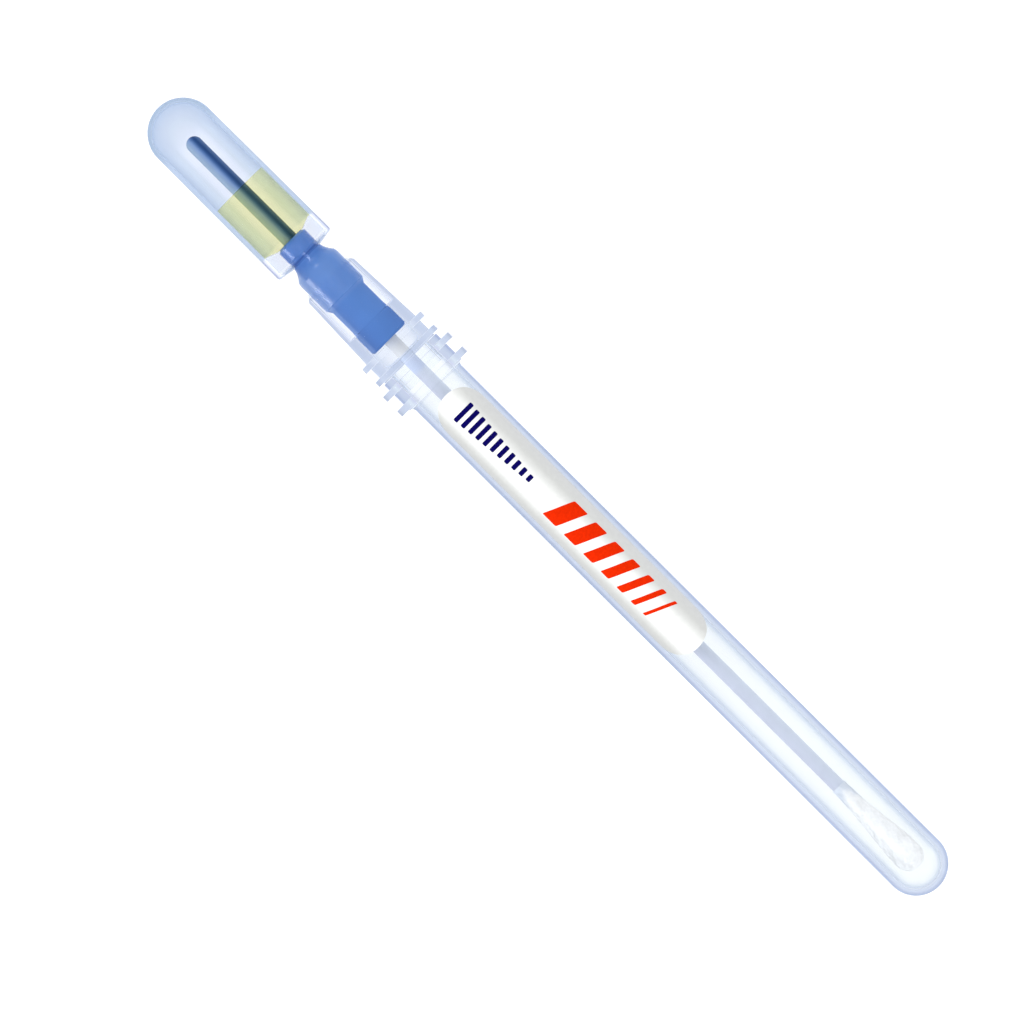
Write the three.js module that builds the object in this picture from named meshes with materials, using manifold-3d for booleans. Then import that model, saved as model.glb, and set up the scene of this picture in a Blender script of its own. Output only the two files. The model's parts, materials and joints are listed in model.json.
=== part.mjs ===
// An all-in-one surface swab: a clear tube with a round closed end, and in its mouth a swab whose handle
// is a soft bulb of reagent behind a snap valve. It lies on its side, label up, on one tube flange and the
// tube's closed end. Millimetres, +Z up, bulb towards -X, origin under the middle of its box.
import * as THREE from 'three';
import { mergeVertices } from 'three/addons/utils/BufferGeometryUtils.js';
import Module from 'manifold-3d';

// Stations run along the axis from the tip of the bulb. Radii are those of the round piece.
const SIDES = 24; // flats round a turned piece, with one flat on top and one underneath
const PRESS_GAP = 0.05; // radial gap of pieces that are pressed or stuck together

// Tube
const MOUTH = 57.5;
const TUBE_END = 178;
const TUBE_R = 5.24;
const TUBE_BORE_R = 4.02;
const LIP_R = 5.93;
const LIP_END = 63.3;
const LIP_FILLET = 0.76;
const FLANGE_R = 7.46;
const FLANGES = [[58.7, 59.8], [61.95, 63.16]];

// Label, seen from above
const LABEL_START = 65.7;
const LABEL_END = 123.2;
const LABEL_HALF_WIDTH = 4.12;
const LABEL_THICKNESS = 0.12;

// Collar
const COLLAR_TOP = 38.6;
const COLLAR_BEAD_R = 4.15;
const COLLAR_BEAD = 0.6;
const COLLAR_TOP_R = 5.09;
const COLLAR_CHAMFER = 0.97;
const COLLAR_R = 5.6;
const COLLAR_BORE_R = 4.44;
const RIB_R = 6.67;
const RIBS = [[53.2, 54.2], [56.2, 57.2]];
const SEAT_TOP = 48.8;
const SEAT_CORNER = 1.1;
const WEB_TOP = 56.4;
const SPIGOT_END = 61.1;
const SPIGOT_WALL = 0.6;

// Valve
const VALVE_TOP = 30.2;
const VALVE_END = 52.9;
const HEAD_R = 2.86;
const WAIST_R = 2.56;
const BELLY_R = 4.13;
const BARREL_R = 3.5;
const BARREL_END_R = 3.67;
const STEM_BORE_END = 34.3;
const CHANNEL_R = 0.85;

// Stem
const STEM_TIP = 7.03;
const STEM_R = 1.37;
const STEM_ROOT_R = 1.2;
const STEM_NECK_R = 0.9;
const STEM_ROOT_END = 34.2;
const STEM_BORE_R = 0.5;

// Bulb
const BULB_R = 5.79;
const BULB_MOUTH_R = 5.89;
const BULB_WALL = 0.76;
const BULB_END = 34.05;
const BULB_LIP_R = 2.95;
const BULB_LIP = 0.4;

// Plug and reagent
const PLUG_TOP = 29.55;
const PLUG_CONE = 0.75;
const PLUG_END = 32.8;
const REAGENT_TOP = 18.6;

// Shaft and bud
const SHAFT_START = 49.9;
const SHAFT_END = 168.3;
const SHAFT_R = 1.17;
const SHAFT_BORE_R = 0.6;
const SHAFT_HOLE_R = 1.25;
const BUD_START = 155.1;
const BUD_WIDEST = 171;
const BUD_R = 2.62;
const BUD_END = 173.5;

// An arc of [radius, station] points about a centre; 0 degrees points away from the axis, 90 along it.
function arc([centreR, centreStation], radius, from, to, steps) {
  const points = [];
  for (let i = 0; i <= steps; i += 1) {
    const angle = THREE.MathUtils.degToRad(from + ((to - from) * i) / steps);
    points.push([centreR + radius * Math.cos(angle), centreStation + radius * Math.sin(angle)]);
  }
  return points;
}

// Turns a profile of [radius, station] points round the X axis. The flats touch the true radius.
function turned(profile) {
  const toCorner = 1 / Math.cos(Math.PI / SIDES);
  const points = profile.map(([r, station]) => new THREE.Vector2(Math.max(r, 0) * toCorner, station));
  return new THREE.LatheGeometry(points, SIDES, Math.PI / SIDES).rotateZ(-Math.PI / 2);
}

// The same, for a piece with a hole right through: its profile closes on itself.
function turnedRing(profile) {
  return turned([...profile, profile[0]]);
}

// Square ribs standing on a cylinder of radius r
function ribs(spans, r, ribR) {
  return spans.flatMap(([start, end]) => [[r, start], [ribR, start], [ribR, end], [r, end]]);
}

function swabTube() {
  const endCentre = TUBE_END - TUBE_R;
  return turned([
    ...arc([0, endCentre], TUBE_BORE_R, 90, 0, 7),
    [TUBE_BORE_R, MOUTH],
    [LIP_R, MOUTH],
    ...ribs(FLANGES, LIP_R, FLANGE_R),
    ...arc([LIP_R, LIP_END + LIP_FILLET], LIP_FILLET, 270, 180, 3),
    ...arc([0, endCentre], TUBE_R, 0, 90, 8),
  ]);
}

function collar() {
  const seatR = BARREL_END_R + PRESS_GAP;
  return turnedRing([
    [COLLAR_BEAD_R, COLLAR_TOP],
    [COLLAR_BEAD_R + 0.2, COLLAR_TOP],
    [COLLAR_TOP_R, COLLAR_TOP + COLLAR_CHAMFER],
    [COLLAR_R, RIBS[0][0] - 0.2],
    ...ribs(RIBS, COLLAR_R, RIB_R),
    [COLLAR_R, MOUTH - PRESS_GAP],
    [TUBE_BORE_R - PRESS_GAP, MOUTH - PRESS_GAP],
    [TUBE_BORE_R - PRESS_GAP, SPIGOT_END - 0.3],
    [TUBE_BORE_R - 0.25, SPIGOT_END],
    [TUBE_BORE_R - SPIGOT_WALL, SPIGOT_END],
    [TUBE_BORE_R - SPIGOT_WALL, MOUTH],
    [SHAFT_HOLE_R, MOUTH],
    [SHAFT_HOLE_R, WEB_TOP],
    ...arc([seatR - SEAT_CORNER, WEB_TOP - SEAT_CORNER], SEAT_CORNER, 90, 0, 4),
    [seatR, SEAT_TOP],
    [COLLAR_BORE_R, SEAT_TOP - 0.2],
    [COLLAR_BORE_R, COLLAR_TOP + COLLAR_BEAD],
  ]);
}

function valveBody() {
  const stemBoreR = STEM_ROOT_R + PRESS_GAP;
  const socketR = SHAFT_R + PRESS_GAP;
  return turnedRing([
    [stemBoreR, VALVE_TOP],
    [2.3, VALVE_TOP],
    [HEAD_R, VALVE_TOP + 0.4],
    [HEAD_R, 32.9],
    [WAIST_R, 33.35],
    [2.86, 33.95],
    [3.1, 34.75],
    [3.53, 35.55],
    [4.01, 36.15],
    [BELLY_R, 36.8],
    [BELLY_R, 42.5],
    [BARREL_R, 43.45],
    [BARREL_R, 47.9],
    [BARREL_END_R, 49.4],
    [BARREL_END_R, VALVE_END - 0.35],
    [BARREL_END_R - 0.3, VALVE_END],
    [socketR, VALVE_END],
    [socketR, SHAFT_START - PRESS_GAP],
    [CHANNEL_R, SHAFT_START - PRESS_GAP],
    [CHANNEL_R, STEM_BORE_END],
    [stemBoreR, STEM_BORE_END],
  ]);
}

function snapStem() {
  const shoulder = VALVE_TOP - PRESS_GAP;
  return turned([
    ...arc([0, STEM_TIP + STEM_R], STEM_R, -90, 0, 5),
    [STEM_R, shoulder],
    [STEM_NECK_R, shoulder + 0.15],
    [STEM_ROOT_R, shoulder + 0.45],
    [STEM_ROOT_R, STEM_ROOT_END],
    [STEM_BORE_R, STEM_ROOT_END],
    [STEM_BORE_R, shoulder + 0.3],
    [0, shoulder + 0.15],
  ]);
}

// The bulb's outer radius at a station below its dome
function bulbRadius(station) {
  return THREE.MathUtils.mapLinear(station, BULB_R, BULB_END, BULB_R, BULB_MOUTH_R);
}

function bulb() {
  const corner = 0.5;
  const lipTop = BULB_END - BULB_LIP;
  const wallEnd = lipTop - corner;
  return turned([
    ...arc([0, BULB_R], BULB_R, -90, 0, 8),
    ...arc([bulbRadius(wallEnd) - corner, wallEnd], corner, 0, 80, 3),
    [BULB_LIP_R, BULB_END],
    [BULB_LIP_R, lipTop],
    [bulbRadius(wallEnd) - BULB_WALL, wallEnd],
    ...arc([0, BULB_R], BULB_R - BULB_WALL, 0, -90, 7),
  ]);
}

function bulbPlug() {
  const outerR = bulbRadius(PLUG_TOP) - BULB_WALL - PRESS_GAP;
  const boreR = HEAD_R + PRESS_GAP;
  return turnedRing([
    [boreR, PLUG_TOP + PLUG_CONE],
    [outerR, PLUG_TOP],
    [outerR, PLUG_END],
    [boreR, PLUG_END],
  ]);
}

function reagent() {
  const gap = 2 * PRESS_GAP;
  const wallR = (station) => bulbRadius(station) - BULB_WALL - PRESS_GAP;
  return turnedRing([
    [STEM_R + PRESS_GAP, REAGENT_TOP],
    [wallR(REAGENT_TOP), REAGENT_TOP],
    [wallR(PLUG_TOP - gap), PLUG_TOP - gap],
    [HEAD_R, VALVE_TOP - gap],
    [STEM_R + PRESS_GAP, VALVE_TOP - gap],
  ]);
}

function swabShaft() {
  return turnedRing([
    [SHAFT_BORE_R, SHAFT_START],
    [SHAFT_R, SHAFT_START],
    [SHAFT_R, SHAFT_END],
    [SHAFT_BORE_R, SHAFT_END],
  ]);
}

// A teardrop: it swells along a cosine from the shaft to its widest ring, and closes in a blunt round end.
function swabBud() {
  const boreR = SHAFT_R + PRESS_GAP;
  const startR = boreR + 0.1;
  const swell = [];
  const steps = 7;
  for (let i = 0; i <= steps; i += 1) {
    const t = i / steps;
    const radius = THREE.MathUtils.lerp(startR, BUD_R, (1 - Math.cos(Math.PI * t ** 1.15)) / 2);
    swell.push([radius, THREE.MathUtils.lerp(BUD_START, BUD_WIDEST, t)]);
  }
  const tip = arc([0, 0], 1, 15, 90, 5);
  return turned([
    [0, SHAFT_END + 2 * PRESS_GAP],
    [boreR, SHAFT_END + 2 * PRESS_GAP],
    [boreR, BUD_START],
    ...swell,
    ...tip.map(([r, along]) => [r * BUD_R, BUD_WIDEST + along * (BUD_END - BUD_WIDEST)]),
  ]);
}

// The label is a ring round the tube, cut to a strip with half-round ends as seen from above.
async function label() {
  const wasm = await Module();
  wasm.setup();
  const toSolid = (geometry) => {
    const bare = geometry.clone();
    bare.deleteAttribute('normal');
    bare.deleteAttribute('uv');
    const merged = mergeVertices(bare, 1e-4);
    return new wasm.Manifold(new wasm.Mesh({
      numProp: 3,
      vertProperties: new Float32Array(merged.attributes.position.array),
      triVerts: new Uint32Array(merged.index.array),
    }));
  };
  const innerR = TUBE_R + PRESS_GAP;
  const outerR = innerR + LABEL_THICKNESS;
  const ring = toSolid(turnedRing([
    [innerR, LABEL_START - 1],
    [outerR, LABEL_START - 1],
    [outerR, LABEL_END + 1],
    [innerR, LABEL_END + 1],
  ]));
  const outline = new THREE.Shape();
  const half = LABEL_HALF_WIDTH;
  outline.absarc(LABEL_END - half, 0, half, -Math.PI / 2, Math.PI / 2);
  outline.absarc(LABEL_START + half, 0, half, Math.PI / 2, 1.5 * Math.PI);
  const upwards = { depth: 2 * outerR, bevelEnabled: false, curveSegments: 12 };
  const cutter = toSolid(new THREE.ExtrudeGeometry(outline, upwards));
  const { vertProperties, triVerts } = ring.intersect(cutter).getMesh();
  const geometry = new THREE.BufferGeometry();
  geometry.setAttribute('position', new THREE.BufferAttribute(vertProperties, 3));
  geometry.setIndex(new THREE.BufferAttribute(triVerts, 1));
  return geometry;
}

const clearPlastic = { roughness: 0.08, metalness: 0, transparent: true };
const finishes = {
  clearTube: new THREE.MeshStandardMaterial({ ...clearPlastic, color: 0xdfe8f8, opacity: 0.35 }),
  clearCollar: new THREE.MeshStandardMaterial({ ...clearPlastic, color: 0xc8d6ee, opacity: 0.45 }),
  paper: new THREE.MeshStandardMaterial({ color: 0xf8f8f6, roughness: 0.6, metalness: 0 }),
  blue: new THREE.MeshStandardMaterial({ color: 0x6289ce, roughness: 0.3, metalness: 0 }),
  navy: new THREE.MeshStandardMaterial({ color: 0x2c4a7c, roughness: 0.3, metalness: 0 }),
  lilac: new THREE.MeshStandardMaterial({ ...clearPlastic, color: 0xe6e8f3, opacity: 0.5 }),
  milky: new THREE.MeshStandardMaterial({ ...clearPlastic, color: 0xcddaf0, opacity: 0.5 }),
  liquid: new THREE.MeshStandardMaterial({ ...clearPlastic, color: 0xcdd6aa, opacity: 0.7 }),
  grey: new THREE.MeshStandardMaterial({ color: 0xcdd7ee, roughness: 0.35, metalness: 0 }),
  fibre: new THREE.MeshStandardMaterial({ color: 0xfafbfd, roughness: 0.95, metalness: 0 }),
};

function piece(name, geometry, finish) {
  const mesh = new THREE.Mesh(geometry, finish);
  mesh.name = name;
  return mesh;
}

function group(...members) {
  const together = new THREE.Group();
  together.add(...members);
  return together;
}

const tubeBody = group(
  piece('swab_tube', swabTube(), finishes.clearTube),
  piece('label', await label(), finishes.paper),
);
const collarBody = group(piece('collar', collar(), finishes.clearCollar));
const swabBody = group(
  piece('valve_body', valveBody(), finishes.blue),
  piece('snap_stem', snapStem(), finishes.navy),
  piece('bulb_plug', bulbPlug(), finishes.lilac),
  piece('bulb', bulb(), finishes.milky),
  piece('reagent', reagent(), finishes.liquid),
  piece('swab_shaft', swabShaft(), finishes.grey),
  piece('swab_bud', swabBud(), finishes.fibre),
);
const device = group(tubeBody, collarBody, swabBody);

// At rest the lower flange's edge and the start of the round end both touch the surface underneath.
const flangeEdge = FLANGES[1][1];
const tilt = Math.atan((FLANGE_R - TUBE_R) / (TUBE_END - TUBE_R - flangeEdge));
device.rotation.y = tilt;
device.position.z = FLANGE_R * Math.cos(tilt) + flangeEdge * Math.sin(tilt);
device.updateMatrixWorld(true);
const box = new THREE.Box3().setFromObject(device, true);
device.position.x = -(box.min.x + box.max.x) / 2;

export default device;
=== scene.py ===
"""The looks of a surface sampling swab: a clear tube with a round end, and in its mouth a swab whose
handle is a soft bulb of reagent behind a blue snap valve. It lies on its side with its label up."""

import json
import math
import random

import bmesh
import bpy
from mathutils import Matrix, Vector, noise


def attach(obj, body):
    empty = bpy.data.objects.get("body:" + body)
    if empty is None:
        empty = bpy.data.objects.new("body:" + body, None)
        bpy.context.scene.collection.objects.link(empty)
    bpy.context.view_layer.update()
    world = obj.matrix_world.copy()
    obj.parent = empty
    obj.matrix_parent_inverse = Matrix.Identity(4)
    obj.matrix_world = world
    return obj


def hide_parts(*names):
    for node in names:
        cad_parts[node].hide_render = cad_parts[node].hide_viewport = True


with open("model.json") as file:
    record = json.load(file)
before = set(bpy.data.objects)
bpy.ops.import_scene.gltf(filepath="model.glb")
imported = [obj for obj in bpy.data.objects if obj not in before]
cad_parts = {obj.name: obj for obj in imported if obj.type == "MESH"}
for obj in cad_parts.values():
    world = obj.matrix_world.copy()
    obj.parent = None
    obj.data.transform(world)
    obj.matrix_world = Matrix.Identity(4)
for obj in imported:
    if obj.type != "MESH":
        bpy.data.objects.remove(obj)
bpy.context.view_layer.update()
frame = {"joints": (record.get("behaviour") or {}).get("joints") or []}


# The lie of the device. Its round pieces share one axis, which dips from the bulb to the closed end, because
# a flange props the tube up. Pieces are modelled along +X from the bulb's tip and then laid on that axis.
mm = 0.001
twist = next(joint for joint in frame["joints"] if joint["name"] == "twist")
bulb_tip = Vector(twist["pos_m"])
along = -Vector(twist["axis"]).normalized()
dip = -math.asin(along.z)
lie = Matrix.Translation(bulb_tip) @ Matrix.Rotation(dip, 4, "Y")


# The tube. One clear injection-moulded piece with a round closed end, a thick lip at its mouth and two
# square flanges on the lip, by which it hangs in a rack.
def begin(bm, radius, station):
    """The first point of an outline: a distance from the axis, and a distance from the bulb's tip."""
    return bm.verts.new((station, 0, radius))


def line_to(bm, last, *corners):
    """Straight edges on from the last point through corners of (radius, station)."""
    for radius, station in corners:
        corner = begin(bm, radius, station)
        bm.edges.new((last, corner))
        last = corner
    return last


def arc_to(bm, last, centre, turn, steps):
    """A round stretch on from the last point, about a centre of (radius, station)."""
    radius, station = centre
    made = bmesh.ops.spin(
        bm, geom=[last], cent=(station, 0, radius), axis=(0, 1, 0), angle=math.radians(turn), steps=steps
    )
    return next(v for v in made["geom_last"] if isinstance(v, bmesh.types.BMVert))


def turn_outline(bm, sides=96):
    """Turns the outline into a solid of revolution about the axis."""
    outline = bm.verts[:] + bm.edges[:]
    bmesh.ops.spin(
        bm, geom=outline, cent=(0, 0, 0), axis=(1, 0, 0), angle=math.tau, steps=sides, use_merge=True
    )
    bmesh.ops.remove_doubles(bm, verts=bm.verts, dist=0.001 * mm)
    bmesh.ops.recalc_face_normals(bm, faces=bm.faces)


def round_rims(bm, stations, radius):
    """Rounds the sharp rims whose station lies between the two given."""
    low, high = stations
    rims = [
        e for e in bm.edges
        if low <= e.verts[0].co.x <= high
        and abs(e.verts[0].co.x - e.verts[1].co.x) < 0.001 * mm
        and len(e.link_faces) == 2
        and e.calc_face_angle() > math.radians(40)
    ]
    bmesh.ops.bevel(
        bm, geom=rims, offset=radius, segments=3, profile=0.5, affect="EDGES", material=-1,
        clamp_overlap=True,
    )


def lay(bm, name, material):
    """Lays a finished shape on the device's axis and makes it an object with smooth faces."""
    bm.transform(lie)
    mesh = bpy.data.meshes.new(name)
    bm.to_mesh(mesh)
    bm.free()
    mesh.materials.append(material)
    mesh.shade_smooth()
    mesh.set_sharp_from_angle(angle=math.radians(35))
    piece = bpy.data.objects.new(name, mesh)
    bpy.context.scene.collection.objects.link(piece)
    return piece


def new_finish(name):
    """A material, its shader and makers of further nodes and links."""
    material = bpy.data.materials.new(name)
    material.use_nodes = True
    nodes = material.node_tree.nodes

    def node(kind, **settings):
        made = nodes.new("ShaderNode" + kind)
        for key, value in settings.items():
            setattr(made, key, value)
        return made

    return material, nodes["Principled BSDF"], node, material.node_tree.links.new


def axis_place(node, link):
    """Coordinates that start at the bulb's tip and run along the device's axis."""
    where = node("TexCoord")
    place = node("Mapping", vector_type="TEXTURE")
    place.inputs["Location"].default_value = bulb_tip
    place.inputs["Rotation"].default_value = (0, dip, 0)
    link(where.outputs["Object"], place.inputs["Vector"])
    return place.outputs["Vector"]


def share_between(node, link, value, start, end, rise="SMOOTHSTEP"):
    """Goes from 0 at the start to 1 at the end, smoothly or, if LINEAR, evenly, and is level beyond them."""
    share = node("MapRange", interpolation_type=rise)
    share.inputs["From Min"].default_value = start
    share.inputs["From Max"].default_value = end
    link(value, share.inputs["Value"])
    return share.outputs["Result"]


def shade_by(node, link, value, *stops):
    """A colour that runs through the stops of (place, colour) as the value grows."""
    ramp = node("ValToRGB")
    elements = ramp.color_ramp.elements
    while len(elements) < len(stops):
        elements.new(1)
    for element, (place, colour) in zip(elements, stops):
        element.position = place
        element.color = (*colour, 1)
    link(value, ramp.inputs["Fac"])
    return ramp.outputs["Color"]


def value_between(node, link, share, low, high):
    """The low value where the share is 0 and the high one where it is 1."""
    value = node("MapRange")
    value.inputs["To Min"].default_value = low
    value.inputs["To Max"].default_value = high
    link(share, value.inputs["Value"])
    return value.outputs["Result"]


def blend_colours(node, link, share, first, second):
    """The first colour where the share is 0 and the second, which may be a plain colour, where it is 1."""
    mix = node("Mix", data_type="RGBA")
    link(share, mix.inputs[0])
    link(first, mix.inputs[6])
    if isinstance(second, tuple):
        mix.inputs[7].default_value = (*second, 1)
    else:
        link(second, mix.inputs[7])
    return mix.outputs[2]


def reckon(node, link, operation, *terms):
    """One step of arithmetic on shader values and plain numbers."""
    step = node("Math", operation=operation)
    for term, entry in zip(terms, step.inputs):
        if isinstance(term, (int, float)):
            entry.default_value = term
        else:
            link(term, entry)
    return step.outputs[0]


def turned_away(node):
    """0 where a surface faces the eye and 1 at its rim."""
    weight = node("LayerWeight")
    weight.inputs["Blend"].default_value = 0.5
    return weight.outputs["Facing"]


def let_light_through(material, node, link, lamp_tint):
    """Lamps and floor light shine straight through, as they do through a thin clear wall."""
    ray = node("LightPath")
    through = node("BsdfTransparent")
    through.inputs["Color"].default_value = (*lamp_tint, 1)
    surface = material.node_tree.nodes["Principled BSDF"].outputs["BSDF"]
    for kind in ("Is Shadow Ray", "Is Diffuse Ray"):
        mix = node("MixShader")
        link(ray.outputs[kind], mix.inputs["Fac"])
        link(surface, mix.inputs[1])
        link(through.outputs["BSDF"], mix.inputs[2])
        surface = mix.outputs["Shader"]
    link(surface, material.node_tree.nodes["Material Output"].inputs["Surface"])


def uneven(node, link, scale, detail=2):
    """A cloudy pattern of values about a half, fixed to the piece."""
    pattern = node("TexNoise")
    pattern.inputs["Scale"].default_value = scale
    pattern.inputs["Detail"].default_value = detail
    link(axis_place(node, link), pattern.inputs["Vector"])
    return pattern.outputs["Fac"]


def clear_plastic(name, ior, roughness, lamp_tint, absorbed, density):
    """See-through moulded plastic, a little uneven in its polish, deeper in colour where it is thick."""
    material, shader, node, link = new_finish(name)
    shader.inputs["IOR"].default_value = ior
    shader.inputs["Transmission Weight"].default_value = 1
    polish = value_between(node, link, uneven(node, link, 260), roughness * 0.9, roughness * 1.1)
    link(polish, shader.inputs["Roughness"])
    let_light_through(material, node, link, lamp_tint)
    absorb = node("VolumeAbsorption")
    absorb.inputs["Color"].default_value = (*absorbed, 1)
    absorb.inputs["Density"].default_value = density
    link(absorb.outputs["Volume"], material.node_tree.nodes["Material Output"].inputs["Volume"])
    return material, shader, node, link


def skin_and_bore(node, link, bore, skin, ends, bore_tints, *zones):
    """A turned piece's tints: one set in its bore, and on its skin one for each zone along the axis. The
    ends are the stations about which its closed ends are rounded. Each point's station and its reach from
    the axis are given back too."""
    place = axis_place(node, link)
    parts = node("SeparateXYZ")
    link(place, parts.inputs["Vector"])
    station = parts.outputs["X"]
    between_ends = node("Clamp")
    between_ends.inputs["Min"].default_value, between_ends.inputs["Max"].default_value = ends
    link(station, between_ends.inputs["Value"])
    on_axis = node("CombineXYZ")
    link(between_ends.outputs["Result"], on_axis.inputs["X"])
    distance = node("VectorMath", operation="DISTANCE")
    link(place, distance.inputs[0])
    link(on_axis.outputs["Vector"], distance.inputs[1])
    reach = distance.outputs["Value"]
    facing = turned_away(node)
    outer = shade_by(node, link, facing, *zones[0])
    for low, high, tints in zones[1:]:
        past = share_between(node, link, station, low, high)
        outer = blend_colours(node, link, past, outer, shade_by(node, link, facing, *tints))
    inner = shade_by(node, link, facing, *bore_tints)
    outside = share_between(node, link, reach, bore, skin)
    return blend_colours(node, link, outside, inner, outer), station, reach


def tint_end_faces(node, link, colour, station, low, high, face_tint):
    """Gives the faces that look along the axis, between two stations, a tint of their own."""
    where = node("TexCoord")
    endways = node("VectorMath", operation="DOT_PRODUCT")
    endways.inputs[1].default_value = along
    link(where.outputs["Normal"], endways.inputs[0])
    size = reckon(node, link, "ABSOLUTE", endways.outputs["Value"])
    share = share_between(node, link, size, 0.4, 0.9)
    for outside, inside in ((low - 0.05 * mm, low), (high + 0.05 * mm, high)):
        within = share_between(node, link, station, outside, inside)
        share = reckon(node, link, "MULTIPLY", share, within)
    return blend_colours(node, link, share, colour, face_tint)


mouth = 57.5 * mm
tube_end = 178 * mm
tube_radius = 5.24 * mm
bore_radius = 4.02 * mm
lip_radius = 5.93 * mm
lip_end = 63.3 * mm
lip_fillet = 0.76 * mm
flange_radius = 7.46 * mm
flanges = ((58.7 * mm, 59.8 * mm), (61.95 * mm, 63.16 * mm))

bm = bmesh.new()
end_centre = (0, tube_end - tube_radius)
point = begin(bm, 0, end_centre[1] + bore_radius)
point = arc_to(bm, point, end_centre, -90, steps=16)
point = line_to(bm, point, (bore_radius, mouth), (lip_radius, mouth))
for near, far in flanges:
    point = line_to(
        bm, point, (lip_radius, near), (flange_radius, near), (flange_radius, far), (lip_radius, far)
    )
point = line_to(bm, point, (lip_radius, lip_end))
point = arc_to(bm, point, (lip_radius, lip_end + lip_fillet), -90, steps=6)
point = line_to(bm, point, (tube_radius, end_centre[1]))
arc_to(bm, point, end_centre, 90, steps=20)
turn_outline(bm, sides=128)
round_rims(bm, (mouth - 1 * mm, lip_end - 0.05 * mm), 0.06 * mm)
clear_tube, shader, node, link = clear_plastic(
    "clear_tube_plastic", ior=1.02, roughness=0.02, lamp_tint=(0.996, 0.998, 1.0),
    absorbed=(0.2, 0.43, 0.66), density=10,
)
tube_tint, station, reach = skin_and_bore(
    node, link, bore_radius + 0.2 * mm, tube_radius - 0.2 * mm, (0, end_centre[1]),
    ((0.42, (0.985, 0.988, 0.99)), (0.53, (0.905, 0.925, 0.955)), (0.75, (0.825, 0.86, 0.91))),
    (
        (0.0, (0.9, 0.925, 0.95)), (0.1, (0.885, 0.91, 0.935)), (0.2, (0.845, 0.855, 0.887)),
        (0.26, (0.66, 0.7, 0.79)), (0.3, (0.53, 0.57, 0.7)), (0.43, (0.52, 0.575, 0.7)),
        (0.58, (0.45, 0.51, 0.66)), (0.65, (0.35, 0.41, 0.59)), (0.8, (0.42, 0.48, 0.65)),
    ),
    (lip_end - 0.1 * mm, lip_end + 0.1 * mm, (
        (0.0, (0.84, 0.87, 0.9)), (0.1, (0.825, 0.853, 0.88)), (0.17, (0.785, 0.82, 0.855)),
        (0.26, (0.705, 0.75, 0.8)), (0.335, (0.63, 0.677, 0.756)), (0.41, (0.574, 0.625, 0.727)),
        (0.5, (0.565, 0.62, 0.748)), (0.568, (0.483, 0.538, 0.678)), (0.64, (0.42, 0.483, 0.634)),
        (0.76, (0.37, 0.445, 0.615)), (0.92, (0.25, 0.33, 0.55)),
    )),
)
flange_tint = shade_by(
    node, link, turned_away(node), (0.03, (0.9, 0.925, 0.95)), (0.07, (0.88, 0.9, 0.93)),
    (0.1, (0.83, 0.85, 0.895)), (0.12, (0.77, 0.785, 0.825)), (0.145, (0.71, 0.72, 0.785)),
    (0.175, (0.585, 0.61, 0.75)), (0.205, (0.615, 0.655, 0.755)), (0.24, (0.665, 0.72, 0.79)),
    (0.32, (0.572, 0.622, 0.735)), (0.43, (0.545, 0.595, 0.725)), (0.58, (0.51, 0.562, 0.683)),
    (0.7, (0.425, 0.48, 0.61)),
)
on_flange = share_between(node, link, reach, lip_radius + 0.05 * mm, lip_radius + 0.15 * mm)
tube_tint = blend_colours(node, link, on_flange, tube_tint, flange_tint)
end_face_tint = (0.93, 0.95, 0.975)
tube_tint = tint_end_faces(
    node, link, tube_tint, station, mouth - 1 * mm, lip_end - 0.06 * mm, end_face_tint
)
tube_tint = tint_end_faces(
    node, link, tube_tint, station, lip_end - 0.01 * mm, lip_end + lip_fillet, (0.8, 0.83, 0.87)
)
link(tube_tint, shader.inputs["Base Color"])
tube = lay(bm, "tube_shell", clear_tube)
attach(tube, "tube")
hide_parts("swab_tube")


# The label. A strip of white coated paper with half-round ends, stuck along the top of the tube. It was cut
# flat, so it is drawn flat here and then wrapped round the tube. Its white greys towards its long edges, a
# painted shade of the tube's curve: narrow on the near side and broad on the far side.
def wrap(bm, radius):
    """Bends a sheet that lies in the XY plane round the axis, keeping its heights above the tube."""
    for v in bm.verts:
        angle = v.co.y / radius
        reach = radius + v.co.z
        v.co.y, v.co.z = reach * math.sin(angle), reach * math.cos(angle)


def cut_in_strips(bm, half_width, pitch):
    """Cuts a flat sheet lengthways at an even pitch, so that it can bend."""
    outermost = math.floor(half_width / pitch)
    for i in range(-outermost, outermost + 1):
        everything = bm.verts[:] + bm.edges[:] + bm.faces[:]
        bmesh.ops.bisect_plane(
            bm, geom=everything, plane_co=(0, i * pitch, 0), plane_no=(0, 1, 0), dist=0.0001 * mm
        )


def flat_patch(bm, start, end, half_width, corner, lift, slant=0.0, segments=6):
    """A round-cornered patch of a flat sheet at a height above the tube. The slant leans its ends over."""
    made = bmesh.ops.create_grid(bm, x_segments=1, y_segments=1, size=0.5)
    corners = made["verts"]
    bmesh.ops.scale(bm, verts=corners, vec=(end - start, 2 * half_width, 1))
    bmesh.ops.translate(bm, verts=corners, vec=((start + end) / 2, 0, lift))
    for v in corners:
        v.co.x += slant * v.co.y
    bmesh.ops.bevel(
        bm, geom=corners, offset=corner, segments=segments, profile=0.5, affect="VERTICES", material=-1
    )


def thicken_up(bm, thickness):
    """Gives a flat sheet its thickness, upwards."""
    sheet = bmesh.ops.extrude_face_region(bm, geom=bm.faces[:])
    raised = [v for v in sheet["geom"] if isinstance(v, bmesh.types.BMVert)]
    bmesh.ops.translate(bm, verts=raised, vec=(0, 0, thickness))
    bmesh.ops.recalc_face_normals(bm, faces=bm.faces)


def station_and_side(node, link):
    """How far each point lies from the bulb's tip, and how far from the axis towards the far side."""
    parts = node("SeparateXYZ")
    link(axis_place(node, link), parts.inputs["Vector"])
    return parts.outputs["X"], parts.outputs["Y"]


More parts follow.
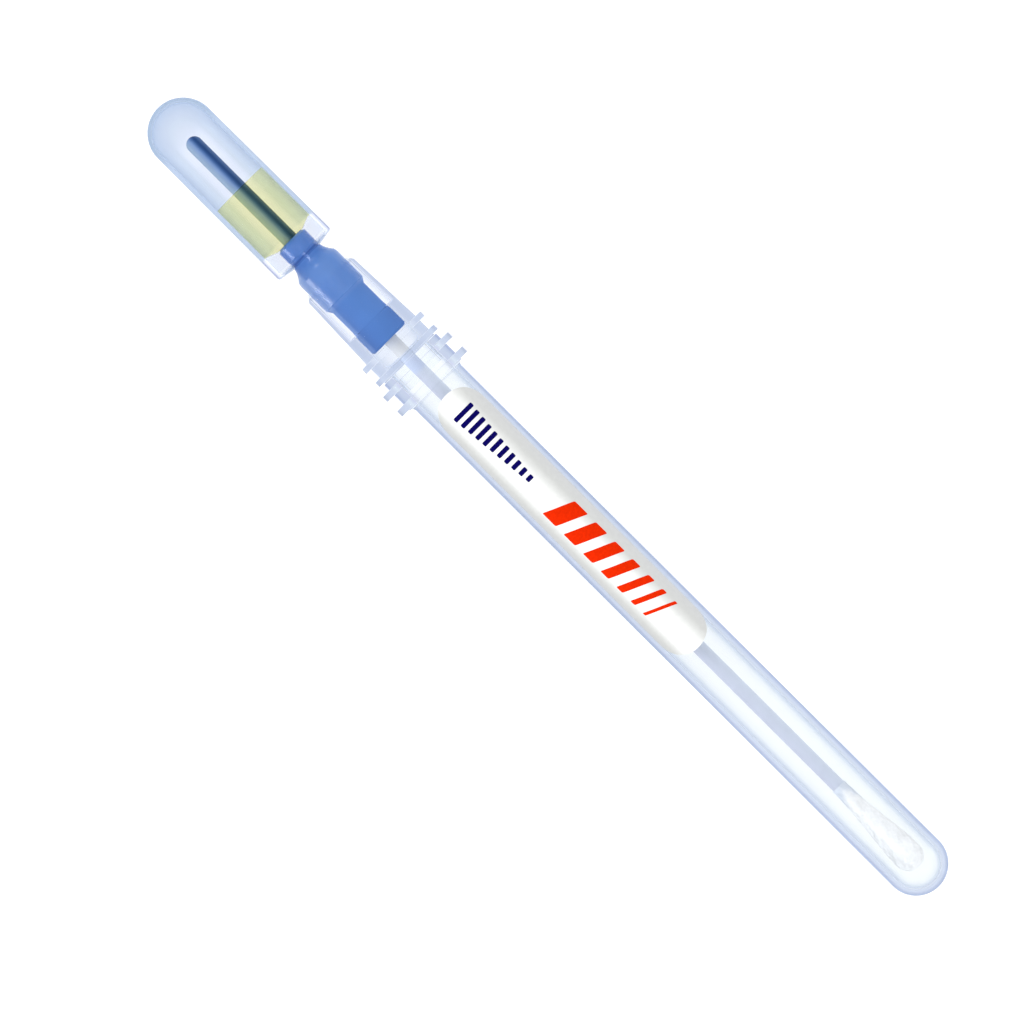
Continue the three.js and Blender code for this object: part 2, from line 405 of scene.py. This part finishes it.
def multiply_colours(node, link, first, second):
    """The first colour, darkened and tinted by the second."""
    mix = node("Mix", data_type="RGBA", blend_type="MULTIPLY")
    mix.inputs[0].default_value = 1
    link(first, mix.inputs[6])
    link(second, mix.inputs[7])
    return mix.outputs[2]


def ripple(node, link, shader, height, strength, depth):
    """Makes a surface look a little uneven where it catches the light."""
    bump = node("Bump")
    bump.inputs["Strength"].default_value = strength
    bump.inputs["Distance"].default_value = depth
    link(height, bump.inputs["Height"])
    link(bump.outputs["Normal"], shader.inputs["Normal"])


label_start, label_end = 65.7 * mm, 123.2 * mm
label_half_width = 4.72 * mm
label_thickness = 0.1 * mm
label_radius = tube_radius + 0.02 * mm
label_seen_half_width = 4.2 * mm
strip_pitch = 0.15 * mm
bm = bmesh.new()
flat_patch(
    bm, label_start, label_end, label_half_width, corner=label_half_width - 0.01 * mm, lift=0, segments=24
)
cut_in_strips(bm, label_half_width, strip_pitch)
thicken_up(bm, label_thickness)
wrap(bm, label_radius)

label_paper, shader, node, link = new_finish("label_paper")
shader.inputs["Roughness"].default_value = 0.6
shader.inputs["Specular IOR Level"].default_value = 0.25
_, side = station_and_side(node, link)
# Painted shade: the paper greys across its width towards both long edges.
across_label = share_between(node, link, side, -label_seen_half_width, label_seen_half_width, "LINEAR")
painted_edge_shade = shade_by(
    node, link, across_label, (0.0, (0.42, 0.43, 0.44)), (0.08, (0.47, 0.48, 0.47)),
    (0.15, (0.58, 0.59, 0.58)), (0.19, (0.67, 0.68, 0.67)), (0.23, (0.8, 0.8, 0.79)),
    (0.5, (0.86, 0.86, 0.85)), (0.62, (0.76, 0.77, 0.76)), (0.7, (0.66, 0.67, 0.66)),
    (0.8, (0.56, 0.57, 0.56)), (1.0, (0.55, 0.56, 0.57)),
)
grain = uneven(node, link, 1500, detail=4)
fleck = shade_by(node, link, grain, (0.3, (0.95, 0.95, 0.95)), (0.7, (1.0, 1.0, 1.0)))
link(multiply_colours(node, link, painted_edge_shade, fleck), shader.inputs["Base Color"])
ripple(node, link, shader, grain, 0.15, 0.01 * mm)
label = lay(bm, "paper_label", label_paper)
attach(label, "tube")
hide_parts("label")


# The print on the label: a row of navy bars that fall in height, and slanted orange-red stripes that thin
# out. The ink stands a few hundredths of a millimetre off the paper and is wrapped round with it.
ink_thickness = 0.025 * mm
ink_lift = label_thickness - 0.01 * mm


def ink(name, colour):
    """Offset printing ink, a little uneven in its cover."""
    material, shader, node, link = new_finish(name)
    thin = tuple(0.8 * c for c in colour)
    cover = shade_by(node, link, uneven(node, link, 2200, detail=3), (0.25, thin), (0.75, colour))
    link(cover, shader.inputs["Base Color"])
    shader.inputs["Roughness"].default_value = 0.5
    shader.inputs["Specular IOR Level"].default_value = 0.02
    return material


def printed(name, patches, material):
    """Ink patches of (start, end, half height, slant) on the label's outer face."""
    bm = bmesh.new()
    for start, end, half_height, slant in patches:
        patch = bmesh.new()
        corner = min(0.25 * (end - start), 0.25 * mm)
        flat_patch(patch, start, end, half_height, corner, ink_lift, slant)
        cut_in_strips(patch, half_height, strip_pitch)
        thicken_up(patch, ink_thickness)
        held = bpy.data.meshes.new("patch")
        patch.to_mesh(held)
        patch.free()
        bm.from_mesh(held)
        bpy.data.meshes.remove(held)
    wrap(bm, label_radius)
    return lay(bm, name, material)


bars_start = 69.3 * mm
bar_count = 11
bar_pitch = 1.5 * mm
bar_width = 0.8 * mm
tallest_bar = 2.0 * mm
bar_fall = 0.14 * mm
bars = []
for i in range(bar_count):
    start = bars_start + bar_pitch * i
    bars.append((start, start + bar_width, tallest_bar - bar_fall * i, 0))
navy_print = printed("label_print_navy", bars, ink("navy_ink", (0.002, 0.001, 0.095)))
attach(navy_print, "tube")

stripe_gap = 1.8 * mm
stripe_half_height = 2.6 * mm
stripe_slant = 0.45
stripes = []
start = 91.3 * mm
for width in (3.0, 2.6, 2.2, 1.8, 1.4, 1.0, 0.6):
    end = start + width * mm
    stripes.append((start, end, stripe_half_height, stripe_slant))
    start = end + stripe_gap
orange_print = printed("label_print_orange", stripes, ink("orange_ink", (0.74, 0.022, 0.0)))
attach(orange_print, "tube")


# The collar. A clear tapered sleeve that grips the valve. Two thin ribs give the fingers a hold, a web
# closes it round the shaft, and a short hollow spigot pushes into the mouth of the tube.
collar_top = 38.6 * mm
rim_bore, rim_radius = 4.15 * mm, 4.35 * mm
collar_top_radius = 5.09 * mm
collar_radius = 5.6 * mm
collar_bore = 4.44 * mm
seat_radius = 3.72 * mm
seat_top = 48.8 * mm
seat_corner = 1.1 * mm
web_top = 56.4 * mm
rib_radius = 6.67 * mm
ribs = ((53.2 * mm, 54.2 * mm), (56.2 * mm, 57.2 * mm))
spigot_radius = bore_radius - 0.05 * mm
spigot_bore = bore_radius - 0.6 * mm
spigot_end = 61.1 * mm
spigot_step = mouth - 0.05 * mm
shaft_hole = 1.25 * mm

bm = bmesh.new()
first = begin(bm, rim_bore, collar_top)
point = line_to(bm, first, (rim_radius, collar_top), (collar_top_radius, collar_top + 0.97 * mm))
for near, far in ribs:
    point = line_to(
        bm, point, (collar_radius, near), (rib_radius, near), (rib_radius, far), (collar_radius, far)
    )
point = line_to(
    bm, point, (collar_radius, spigot_step), (spigot_radius, spigot_step),
    (spigot_radius, spigot_end - 0.3 * mm), (spigot_radius - 0.2 * mm, spigot_end),
    (spigot_bore, spigot_end), (spigot_bore, mouth), (shaft_hole, mouth),
    (shaft_hole, web_top), (seat_radius - seat_corner, web_top),
)
point = arc_to(bm, point, (seat_radius - seat_corner, web_top - seat_corner), -90, steps=8)
point = line_to(
    bm, point, (seat_radius, seat_top), (collar_bore, seat_top - 0.2 * mm),
    (collar_bore, collar_top + 0.6 * mm),
)
bm.edges.new((point, first))
turn_outline(bm, sides=128)
round_rims(bm, (ribs[0][0] - 0.1 * mm, ribs[1][1] + 0.1 * mm), 0.08 * mm)
clear_collar, shader, node, link = clear_plastic(
    "clear_collar_plastic", ior=1.02, roughness=0.03, lamp_tint=(0.996, 0.998, 1.0),
    absorbed=(0.38, 0.51, 0.71), density=20,
)
collar_tint, station, _ = skin_and_bore(
    node, link, collar_bore + 0.08 * mm, collar_top_radius - 0.15 * mm, (0, tube_end),
    ((0.4, (0.985, 0.988, 0.99)), (0.8, (0.88, 0.91, 0.95))),
    (
        (0.3, (0.93, 0.94, 0.97)), (0.4, (0.837, 0.857, 0.94)), (0.61, (0.57, 0.62, 0.74)),
        (0.75, (0.51, 0.57, 0.71)), (0.9, (0.42, 0.5, 0.67)),
    ),
    (seat_top - 0.3 * mm, seat_top + 0.1 * mm, (
        (0.04, (0.82, 0.85, 0.9)), (0.1, (0.78, 0.81, 0.87)), (0.15, (0.725, 0.765, 0.84)),
        (0.23, (0.685, 0.725, 0.81)), (0.35, (0.57, 0.625, 0.745)), (0.52, (0.54, 0.6, 0.73)),
        (0.75, (0.54, 0.6, 0.73)), (0.9, (0.48, 0.54, 0.69)),
    )),
    (web_top - 0.4 * mm, web_top - 0.1 * mm, ((0.45, (0.57, 0.625, 0.745)), (0.63, (0.45, 0.51, 0.65)))),
)
collar_tint = tint_end_faces(node, link, collar_tint, station, collar_top + 1 * mm, tube_end, end_face_tint)
link(collar_tint, shader.inputs["Base Color"])
collar = lay(bm, "clear_collar", clear_collar)
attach(collar, "collar")
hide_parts("collar")


# The valve. One blue moulding, hollow right through: a narrow head in the bulb, a waist, a fat belly and a
# longer barrel, whose flared end is pressed into the collar's seat. It is glossy but for its barrel. Its
# waist is darkened, a painted shade, and across it the blue carries painted light from the near lamp.
def moulded(name, tones, radius, roughness, shade=0.9, shine=0.5):
    """Opaque moulded plastic, with the faint mottle and ripple of cooled plastic. Its tones run across it
    from its near side to its far side, out to the radius, and are painted light and shade. Its colour is
    given back too."""
    material, shader, node, link = new_finish(name)
    _, side = station_and_side(node, link)
    # The tones across the piece are painted light and shade from the near lamp, mixed with the mottle.
    across_piece = share_between(node, link, side, -radius, radius, "LINEAR")
    painted_side_tone = shade_by(node, link, across_piece, *tones)
    mottle = uneven(node, link, 420, detail=5)
    streaks = shade_by(node, link, mottle, (0.3, (shade, shade, shade)), (0.7, (1, 1, 1)))
    painted_tone_and_mottle = multiply_colours(node, link, painted_side_tone, streaks)
    link(painted_tone_and_mottle, shader.inputs["Base Color"])
    polish = value_between(node, link, mottle, roughness * 0.85, roughness * 1.2)
    link(polish, shader.inputs["Roughness"])
    ripple(node, link, shader, mottle, 0.03, 0.01 * mm)
    shader.inputs["Specular IOR Level"].default_value = shine
    return material, shader, node, link, painted_tone_and_mottle


valve_top, valve_end = 30.2 * mm, 52.9 * mm
head_end = 32.8 * mm
head_radius = 2.86 * mm
waist_radius = 2.56 * mm
belly_start, belly_end = 36.8 * mm, 42.5 * mm
belly_radius = 4.13 * mm
barrel_start, barrel_flare = 43.45 * mm, 47.9 * mm
barrel_radius = 3.5 * mm
barrel_end_radius = 3.67 * mm
root_seat = 34.3 * mm
root_bore = 1.25 * mm
channel_radius = 0.85 * mm
socket_radius = 1.22 * mm
socket_top = 49.85 * mm

# A second point beside a corner keeps the light even along the straight face that ends there.
bm = bmesh.new()
first = begin(bm, root_bore, valve_top)
point = line_to(
    bm, first, (2.3 * mm, valve_top), (head_radius, valve_top + 0.4 * mm), (head_radius, head_end),
    (head_radius, head_end + 0.1 * mm), (waist_radius, 33.35 * mm), (2.86 * mm, 33.95 * mm),
    (3.1 * mm, 34.75 * mm), (3.53 * mm, 35.55 * mm), (4.01 * mm, 36.15 * mm), (belly_radius, belly_start),
    (belly_radius, belly_start + 0.2 * mm), (belly_radius, belly_end - 0.15 * mm),
    (belly_radius, belly_end), (barrel_radius, barrel_start), (barrel_radius, barrel_flare),
    (barrel_end_radius, barrel_flare + 1.5 * mm), (barrel_end_radius, valve_end - 0.35 * mm),
    (barrel_end_radius - 0.3 * mm, valve_end), (socket_radius, valve_end), (socket_radius, socket_top),
    (channel_radius, socket_top), (channel_radius, root_seat), (root_bore, root_seat),
)
bm.edges.new((point, first))
turn_outline(bm)
# Painted light: the valve's very near edge is a painted highlight, and the darker band just inside it is
# painted shade that evens out the near lamp's highlight.
blue_valve, shader, node, link, painted_tone_and_mottle = moulded(
    "blue_valve_plastic", (
        (0.0, (0.11, 0.195, 0.42)), (0.12, (0.105, 0.19, 0.415)), (0.17, (0.05, 0.13, 0.37)),
        (0.3, (0.055, 0.15, 0.42)), (0.5, (0.065, 0.172, 0.465)), (1.0, (0.073, 0.184, 0.485)),
    ), belly_radius, 0.3, shade=0.95,
)
station, _ = station_and_side(node, link)
gripped = share_between(node, link, station, belly_end, belly_end + 1 * mm)
link(value_between(node, link, gripped, 0.25, 0.85), shader.inputs["Roughness"])
# Painted shade: the waist is darkened along its length, most towards its middle.
along_waist = share_between(node, link, station, head_end, head_end + 3 * mm, "LINEAR")
painted_waist_shade = shade_by(
    node, link, along_waist, (0.0, (1, 1, 1)), (0.2, (0.85, 0.9, 0.96)), (0.6, (0.75, 0.83, 0.92)),
    (1.0, (1, 1, 1)),
)
link(multiply_colours(node, link, painted_tone_and_mottle, painted_waist_shade), shader.inputs["Base Color"])
valve = lay(bm, "snap_valve", blue_valve)
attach(valve, "swab")
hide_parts("valve_body")


# The break-off stem. A dark navy rod with a round tip, standing in the bulb. Its hollow root is pressed into
# the valve's head, and it snaps at the neck just above.
stem_tip = 7.03 * mm
stem_radius = 1.37 * mm
shoulder = valve_top - 0.05 * mm
neck_radius = 0.9 * mm
root_radius, root_hole = 1.2 * mm, 0.5 * mm
root_end = root_seat - 0.1 * mm
bm = bmesh.new()
point = begin(bm, 0, stem_tip)
point = arc_to(bm, point, (0, stem_tip + stem_radius), 90, steps=10)
line_to(
    bm, point, (stem_radius, shoulder), (neck_radius, shoulder + 0.15 * mm),
    (root_radius, shoulder + 0.45 * mm), (root_radius, root_end), (root_hole, root_end),
    (root_hole, shoulder + 0.3 * mm), (0, shoulder + 0.15 * mm),
)
turn_outline(bm, sides=64)
# Painted light: the stem's near half is painted pale slate-blue, a painted highlight of the near lamp, and
# its far half is dark navy.
navy_stem, *_ = moulded(
    "navy_stem_plastic", (
        (0.1, (0.26, 0.35, 0.45)), (0.26, (0.23, 0.32, 0.46)), (0.38, (0.2, 0.3, 0.49)),
        (0.5, (0.1, 0.19, 0.39)), (0.62, (0.03, 0.085, 0.24)), (0.74, (0.006, 0.045, 0.16)),
        (0.9, (0.05, 0.11, 0.25)),
    ), stem_radius, 0.5, shine=0.2,
)
stem = lay(bm, "break_off_stem", navy_stem)
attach(stem, "swab")
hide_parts("snap_stem")


# The plug. A clear lilac ring of harder plastic, pressed between the valve's head and the bulb's wall; its
# top slopes to the middle.
bulb_radius = 5.79 * mm
bulb_mouth_radius = 5.89 * mm
bulb_end = 34.05 * mm
bulb_wall = 0.76 * mm


def bulb_side(station):
    """The bulb's outer radius, which grows a little from the dome to the mouth."""
    share = (station - bulb_radius) / (bulb_end - bulb_radius)
    return bulb_radius + share * (bulb_mouth_radius - bulb_radius)


plug_top, plug_end = 29.55 * mm, head_end
plug_cone = 0.75 * mm
plug_radius = bulb_side(plug_top) - bulb_wall - 0.05 * mm
plug_bore = head_radius + 0.05 * mm
bm = bmesh.new()
first = begin(bm, plug_bore, plug_top + plug_cone)
point = line_to(bm, first, (plug_radius, plug_top), (plug_radius, plug_end), (plug_bore, plug_end))
bm.edges.new((point, first))
turn_outline(bm)
round_rims(bm, (plug_top + plug_cone, plug_end + 1 * mm), 0.15 * mm)
lilac_plug, shader, node, link = clear_plastic(
    "lilac_plug_plastic", ior=1.01, roughness=0.05, lamp_tint=(0.98, 0.98, 0.99),
    absorbed=(0.1, 0.3, 0.55), density=8,
)
link(
    shade_by(node, link, turned_away(node), (0.0, (0.98, 0.98, 0.99)), (1.0, (0.92, 0.93, 0.97))),
    shader.inputs["Base Color"],
)
plug = lay(bm, "white_bulb_plug", lilac_plug)
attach(plug, "swab")
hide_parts("bulb_plug")


# The bulb. A soft, milky pale blue squeeze bulb, blown with a domed end, where it is bluest. Its mouth is
# turned in over the plug, and there its wall is nearly clear.
bulb_lip = 0.4 * mm
bulb_lip_bore = 2.95 * mm
lip_corner = 0.5 * mm
lip_top = bulb_end - bulb_lip
wall_end = lip_top - lip_corner
bm = bmesh.new()
point = begin(bm, 0, 0)
point = arc_to(bm, point, (0, bulb_radius), 90, steps=20)
point = line_to(bm, point, (bulb_side(wall_end), wall_end))
point = arc_to(bm, point, (bulb_side(wall_end) - lip_corner, wall_end), 80, steps=5)
point = line_to(
    bm, point, (bulb_lip_bore, bulb_end), (bulb_lip_bore, lip_top),
    (bulb_side(wall_end) - bulb_wall, wall_end), (bulb_radius - bulb_wall, bulb_radius),
)
arc_to(bm, point, (0, bulb_radius), -90, steps=16)
turn_outline(bm, sides=128)
milky_bulb, shader, node, link = clear_plastic(
    "milky_bulb_plastic", ior=1.02, roughness=0.04, lamp_tint=(0.975, 0.985, 1.0),
    absorbed=(0.1, 0.4, 0.8), density=10,
)
milk, station, _ = skin_and_bore(
    node, link, bulb_radius - bulb_wall + 0.15 * mm, bulb_radius - 0.2 * mm, (bulb_radius, tube_end),
    ((0.2, (0.88, 0.91, 0.96)), (0.5, (0.84, 0.88, 0.94))),
    (
        (0.0, (0.655, 0.695, 0.77)), (0.065, (0.61, 0.665, 0.75)), (0.13, (0.576, 0.63, 0.73)),
        (0.37, (0.53, 0.6, 0.725)), (0.46, (0.45, 0.53, 0.67)), (0.6, (0.367, 0.46, 0.6)),
        (0.85, (0.35, 0.44, 0.6)),
    ),
    (4.5 * mm, 9.5 * mm, (
        (0.04, (0.795, 0.81, 0.875)), (0.08, (0.76, 0.785, 0.86)), (0.135, (0.655, 0.705, 0.78)),
        (0.21, (0.63, 0.69, 0.785)), (0.255, (0.61, 0.67, 0.77)), (0.34, (0.552, 0.619, 0.735)),
        (0.415, (0.505, 0.57, 0.69)), (0.5, (0.475, 0.555, 0.7)), (0.58, (0.495, 0.58, 0.73)),
        (0.74, (0.45, 0.53, 0.67)), (0.9, (0.4, 0.48, 0.63)),
    )),
    (plug_top - 0.4 * mm, plug_top + 0.3 * mm, (
        (0.2, (0.925, 0.91, 0.925)), (0.43, (0.96, 0.95, 0.96)), (0.5, (1, 1, 1)),
        (0.57, (0.82, 0.835, 0.9)), (0.66, (0.64, 0.655, 0.81)), (0.75, (0.38, 0.418, 0.6)),
        (0.95, (0.27, 0.33, 0.48)),
    )),
)
turned_in = share_between(node, link, station, wall_end + 0.2 * mm, wall_end + 0.35 * mm)
folded_edge = shade_by(
    node, link, turned_away(node), (0.15, (0.97, 0.98, 0.99)), (0.4, (0.6, 0.66, 0.78)),
    (0.5, (0.45, 0.52, 0.67)),
)
milk = blend_colours(node, link, turned_in, milk, folded_edge)
link(milk, shader.inputs["Base Color"])
bulb = lay(bm, "squeeze_bulb", milky_bulb)
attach(bulb, "swab")
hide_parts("bulb")


# The reagent. A charge of yellow-green liquid that stands on the plug, round the stem, and climbs a little
# where it wets the wall and the stem.
reagent_top = 18.62 * mm
wetted = stem_radius + 0.03 * mm
bm = bmesh.new()
first = begin(bm, wetted, reagent_top)
wall_inside = bulb_side(reagent_top) - bulb_wall
point = line_to(
    bm, first, (wetted + 0.3 * mm, reagent_top + 0.04 * mm),
    ((wetted + wall_inside) / 2, reagent_top + 0.06 * mm),
    (wall_inside - 0.4 * mm, reagent_top + 0.04 * mm), (wall_inside - 0.03 * mm, reagent_top),
    (bulb_side(plug_top) - bulb_wall - 0.03 * mm, plug_top - 0.04 * mm),
    (plug_bore, plug_top + plug_cone - 0.04 * mm), (plug_bore, valve_top - 0.03 * mm),
    (wetted, valve_top - 0.03 * mm),
)
bm.edges.new((point, first))
turn_outline(bm)
liquid, shader, node, link = new_finish("reagent_liquid")
shader.inputs["IOR"].default_value = 1.01
shader.inputs["Transmission Weight"].default_value = 1
shader.inputs["Roughness"].default_value = 0.0
cloud = uneven(node, link, 180)
greens = shade_by(node, link, cloud, (0.3, (0.97, 0.925, 0.505)), (0.7, (1.0, 0.955, 0.545)))
link(greens, shader.inputs["Base Color"])
let_light_through(liquid, node, link, (0.99, 0.985, 0.9))
reagent = lay(bm, "reagent_charge", liquid)
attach(reagent, "swab")
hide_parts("reagent")


# The shaft. An extruded lilac-grey plastic straw, pushed into the valve's socket; the reagent runs down it.
# It is greyer where it comes out of the valve, and a little deeper just past the collar's web.
shaft_radius = 1.17 * mm
shaft_bore = 0.6 * mm
shaft_start, shaft_end = 49.9 * mm, 168.3 * mm
bm = bmesh.new()
first = begin(bm, shaft_bore, shaft_start)
point = line_to(bm, first, (shaft_radius, shaft_start), (shaft_radius, shaft_end), (shaft_bore, shaft_end))
bm.edges.new((point, first))
turn_outline(bm, sides=48)
# Painted shade: the shaft's tones darken it towards the near side, to even out the near lamp's light.
grey_shaft, shader, node, link, plain = moulded(
    "grey_shaft_plastic", ((0.1, (0.46, 0.49, 0.59)), (0.9, (0.575, 0.625, 0.725))), shaft_radius, 0.6,
    shade=0.95, shine=0.1,
)
station, _ = station_and_side(node, link)
from_valve = share_between(node, link, station, valve_end, valve_end + 8 * mm, "LINEAR")
in_collar = shade_by(
    node, link, from_valve, (0.4, (0.63, 0.64, 0.655)), (0.46, (0.625, 0.67, 0.765)),
    (0.55, (0.625, 0.67, 0.765)), (0.6, (0.467, 0.525, 0.674)), (0.8, (0.467, 0.525, 0.674)),
)
clear_of_it = share_between(node, link, station, valve_end + 6.4 * mm, valve_end + 7.6 * mm)
link(blend_colours(node, link, clear_of_it, in_collar, plain), shader.inputs["Base Color"])
shaft = lay(bm, "hollow_shaft", grey_shaft)
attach(shaft, "swab")
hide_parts("swab_shaft")


# The bud. White fibre wound on the shaft's end in a teardrop, with a slight twist in its surface. Its first
# turns are thin and ragged, so the shaft shows through them.
bud_start, bud_widest, bud_end = 155.1 * mm, 171 * mm, 173.5 * mm
bud_radius = 2.46 * mm
bud_bore = shaft_radius + 0.05 * mm
bud_root = bud_bore + 0.06 * mm
winding_ridges, ridge_height, ridge_slant = 9, 0.014 * mm, 0.35 * mm
tuft_height, tuft_size = 0.02 * mm, 0.55 * mm


def bud_side(station):
    """The bud's radius: a slow swell to its widest, then a blunt round end."""
    if station > bud_widest:
        share = (station - bud_widest) / (bud_end - bud_widest)
        return bud_radius * math.sqrt(max(1 - share * share, 0))
    share = (station - bud_start) / (bud_widest - bud_start)
    return bud_root + (bud_radius - bud_root) * (1 - math.cos(math.pi * share**1.15)) / 2


bm = bmesh.new()
point = begin(bm, 0, shaft_end + 0.1 * mm)
point = line_to(bm, point, (bud_bore, shaft_end + 0.1 * mm), (bud_bore, bud_start))
swell_steps, end_steps = 70, 16
for i in range(swell_steps + 1):
    station = bud_start + (bud_widest - bud_start) * i / swell_steps
    point = line_to(bm, point, (bud_side(station), station))
for i in range(1, end_steps + 1):
    station = bud_widest + (bud_end - bud_widest - 0.1 * mm) * math.sin(math.pi / 2 * i / end_steps)
    point = line_to(bm, point, (bud_side(station) if i < end_steps else 0, station))
turn_outline(bm, sides=112)
for v in bm.verts:
    reach = math.hypot(v.co.y, v.co.z)
    if reach > bud_bore + 0.02 * mm:
        turn = math.atan2(v.co.y, v.co.z)
        wound = ridge_height * math.sin(winding_ridges * turn + v.co.x / ridge_slant)
        tuft = tuft_height * noise.noise(v.co / tuft_size)
        swell = (wound + tuft) * min((reach - bud_bore) / (0.4 * mm), 1)
        v.co.y *= 1 + swell / reach
        v.co.z *= 1 + swell / reach

fibre, shader, node, link = new_finish("bud_fibre")
shader.inputs["Roughness"].default_value = 0.95
shader.inputs["Sheen Weight"].default_value = 0.3
shader.inputs["Sheen Roughness"].default_value = 0.4
strands = uneven(node, link, 2600, detail=6)
whites = shade_by(node, link, strands, (0.3, (0.82, 0.83, 0.84)), (0.65, (0.9, 0.905, 0.91)))
station, side = station_and_side(node, link)
across_bud = share_between(node, link, side, -bud_radius, bud_radius, "LINEAR")
# Painted shade: the near side of the bud is a little greyer, to even out the near lamp's light.
painted_near_shade = shade_by(
    node, link, across_bud, (0.1, (0.86, 0.87, 0.88)), (0.22, (0.87, 0.88, 0.89)), (0.36, (1, 1, 1))
)
wool_and_painted_shade = multiply_colours(node, link, whites, painted_near_shade)
off_middle = reckon(node, link, "ABSOLUTE", side)
set_back = reckon(node, link, "MULTIPLY_ADD", off_middle, -2, station)
frayed = uneven(node, link, 1100, detail=3)
ragged = reckon(node, link, "MULTIPLY_ADD", frayed, 2.4 * mm, set_back)
bare = share_between(node, link, ragged, bud_start + 3.2 * mm, bud_start + 0.5 * mm)
link(blend_colours(node, link, bare, wool_and_painted_shade, (0.6, 0.645, 0.72)), shader.inputs["Base Color"])
ripple(node, link, shader, strands, 0.12, 0.04 * mm)
bud = lay(bm, "fibre_bud", fibre)
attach(bud, "swab")
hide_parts("swab_bud")


# The bud's loose fibres. Fine white strands that the winding leaves standing off the bud in low loops and
# free ends, so that its outline is soft.
fibre_count = 1500
fibre_thickness = 0.02 * mm
points_each = 6
draw = random.Random(5)
fluff = bpy.data.curves.new("loose_fibres", "CURVE")
fluff.dimensions = "3D"
fluff.bevel_depth = fibre_thickness / 2
fluff.bevel_resolution = 0
fluff.use_fill_caps = True
for _ in range(fibre_count):
    station = bud_start + (bud_end - bud_start - 0.2 * mm) * draw.random() ** 0.8
    turn = draw.uniform(0, math.tau)
    reach_on = draw.uniform(0.8, 2.6) * mm * draw.choice((-1, 1))
    turn_on = draw.uniform(-1.1, 1.1)
    height = draw.uniform(0.01, 0.08) * mm
    free_end = draw.random() < 0.5
    strand = fluff.splines.new("POLY")
    strand.points.add(points_each - 1)
    for i, knot in enumerate(strand.points):
        share = i / (points_each - 1)
        at = min(max(station + reach_on * share, bud_start + 0.05 * mm), bud_end - 0.15 * mm)
        rise = share if free_end else math.sin(math.pi * share)
        reach = bud_side(at) + height * rise
        angle = turn + turn_on * share
        knot.co = (*(lie @ Vector((at, reach * math.sin(angle), reach * math.cos(angle)))), 1)
held = bpy.data.objects.new("held", fluff)
loose_mesh = bpy.data.meshes.new_from_object(held)
bpy.data.objects.remove(held)
bpy.data.curves.remove(fluff)
loose_mesh.materials.clear()
loose_mesh.materials.append(fibre)
loose = bpy.data.objects.new("loose_fibres", loose_mesh)
bpy.context.scene.collection.objects.link(loose)
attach(loose, "swab")


# The stage: a white light table, a pale sky that is brightest overhead and a little towards the near side,
# one soft lamp low on the near side, which draws the highlight along the valve, and a small one over the
# bulb's end, which catches the valve's neck.
bm = bmesh.new()
bmesh.ops.create_grid(bm, x_segments=1, y_segments=1, size=4)
floor_mesh = bpy.data.meshes.new("floor")
bm.to_mesh(floor_mesh)
bm.free()
floor = bpy.data.objects.new("floor", floor_mesh)
bpy.context.scene.collection.objects.link(floor)
sheet_white, shader, _, _ = new_finish("floor_white")
shader.inputs["Base Color"].default_value = (0.5, 0.5, 0.5, 1)
shader.inputs["Emission Color"].default_value = (1, 1, 1, 1)
shader.inputs["Emission Strength"].default_value = 0.6
shader.inputs["Roughness"].default_value = 0.8
shader.inputs["Specular IOR Level"].default_value = 0.1
floor_mesh.materials.append(sheet_white)

world = bpy.data.worlds.new("studio")
bpy.context.scene.world = world
world.use_nodes = True
sky_nodes, sky_links = world.node_tree.nodes, world.node_tree.links
direction = sky_nodes.new("ShaderNodeTexCoord")
towards_brightest = sky_nodes.new("ShaderNodeVectorMath")
towards_brightest.operation = "DOT_PRODUCT"
towards_brightest.inputs[1].default_value = Vector((0, -0.1, 1)).normalized()
sky_links.new(direction.outputs["Generated"], towards_brightest.inputs[0])
glow = sky_nodes.new("ShaderNodeMapRange")
glow.inputs["From Min"].default_value = -0.3
glow.inputs["To Min"].default_value = 0.75
glow.inputs["To Max"].default_value = 1.46
sky_links.new(towards_brightest.outputs["Value"], glow.inputs["Value"])
background = sky_nodes["Background"]
background.inputs["Color"].default_value = (1, 1, 1, 1)
sky_links.new(glow.outputs["Result"], background.inputs["Strength"])


def hang_lamp(name, shape, size, energy, place, aim):
    """A soft flat lamp that shines from its place at its aim."""
    light = bpy.data.lights.new(name, "AREA")
    light.shape = shape
    light.size = size
    light.energy = energy
    lamp = bpy.data.objects.new(name, light)
    lamp.location = place
    lamp.rotation_euler = (Vector(aim) - Vector(place)).to_track_quat("-Z", "Y").to_euler()
    bpy.context.scene.collection.objects.link(lamp)


hang_lamp("near_lamp", "SQUARE", 0.2, 0.8, place=(-0.05, -0.5, 0.105), aim=(-0.05, 0, 0))
hang_lamp("end_lamp", "DISK", 0.13, 0.3, place=(-0.5, 0.01, 0.45), aim=(-0.054, 0, 0))

# The camera looks down square to the device's axis, turned so that the device lies across the frame with
# its bulb at the top left. The long lens keeps the tube's sides parallel.
frame_width = 165.27 * mm
shift_right, shift_up = -5.875 * mm, -2.405 * mm
turned = math.radians(44.896)
across = Vector((0, 1, 0))
right = math.cos(turned) * along + math.sin(turned) * across
up = math.cos(turned) * across - math.sin(turned) * along
back = right.cross(up)
camera = bpy.data.cameras.new("camera")
camera.lens = 600
camera.sensor_width = 36
camera.clip_end = 10
eye = bpy.data.objects.new("camera", camera)
distance = frame_width * camera.lens / camera.sensor_width
middle = bulb_tip + along * tube_end / 2
eye.location = middle + back * distance + right * shift_right + up * shift_up
eye.rotation_euler = Matrix((right, up, back)).transposed().to_euler()
bpy.context.scene.collection.objects.link(eye)
bpy.context.scene.camera = eye
bpy.context.scene.view_settings.view_transform = "Standard"
bpy.context.scene.cycles.max_bounces = 24
bpy.context.scene.cycles.transmission_bounces = 20
bpy.context.scene.cycles.transparent_max_bounces = 24
